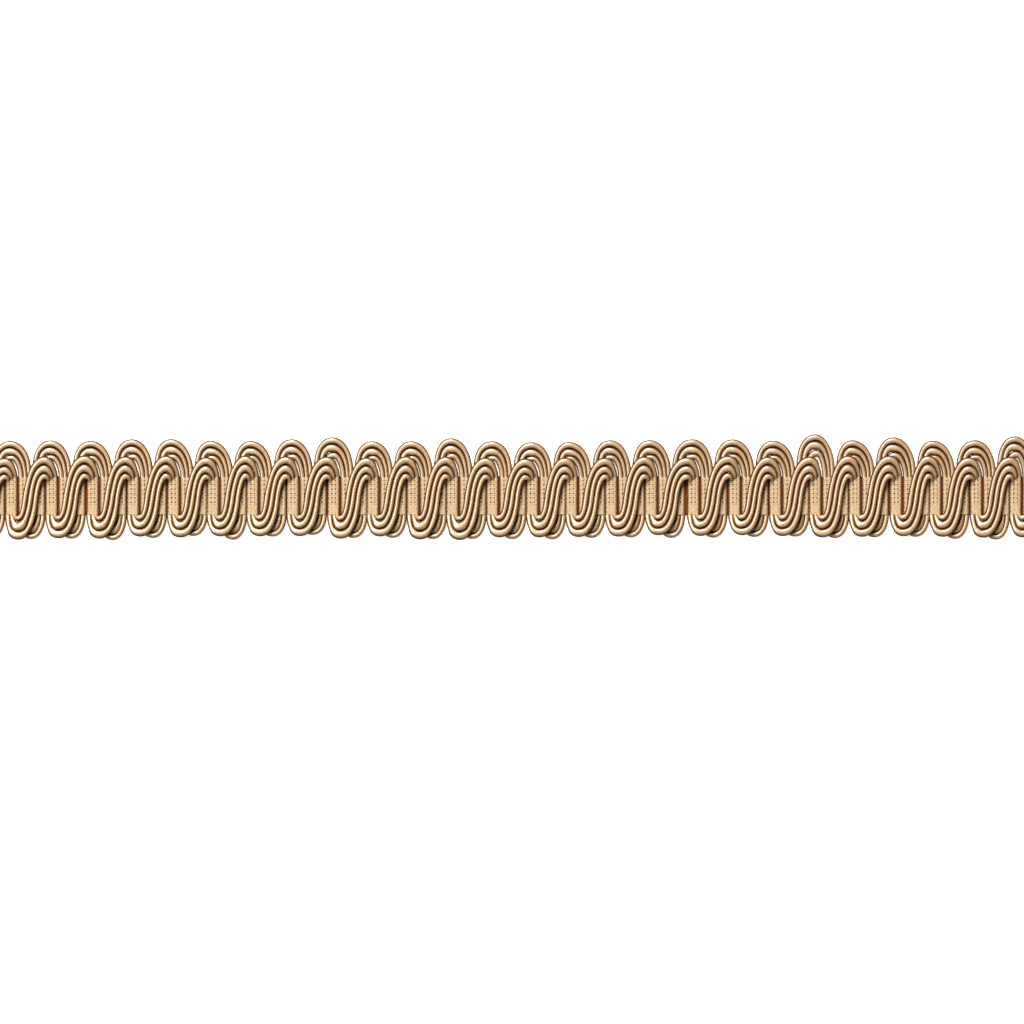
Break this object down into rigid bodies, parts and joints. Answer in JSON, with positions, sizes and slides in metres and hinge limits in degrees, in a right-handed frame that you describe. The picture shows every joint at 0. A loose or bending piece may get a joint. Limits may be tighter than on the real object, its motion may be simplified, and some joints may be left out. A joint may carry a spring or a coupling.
{
  "type": "gimp braid trim",
  "caption": "Flat scroll gimp braid: wrapped cords looping from scalloped edge to scalloped edge of a narrow woven ground, with leaning S loops over the face.",
  "frame": {"origin": "on the flat underside of the woven ground, at mid-width of the ground and mid-length of the cut braid", "axes": "+X along the braid, +Y across it towards the tall back arches, +Z out of the face"},
  "size_m": [0.1646, 0.0156, 0.0019],
  "materials": {
    "cover_threads": "fine cream viscose thread, laid close",
    "gimp_cord": "satin viscose wrapped round a cotton core, light gold beige"
  },
  "bodies": {
    "root": {"ground": "cover_threads", "back_cord_a": "gimp_cord", "back_cord_b": "gimp_cord", "back_cord_c": "gimp_cord", "front_cord_a": "gimp_cord", "front_cord_b": "gimp_cord", "front_cord_c": "gimp_cord"}
  },
  "joints": []
}
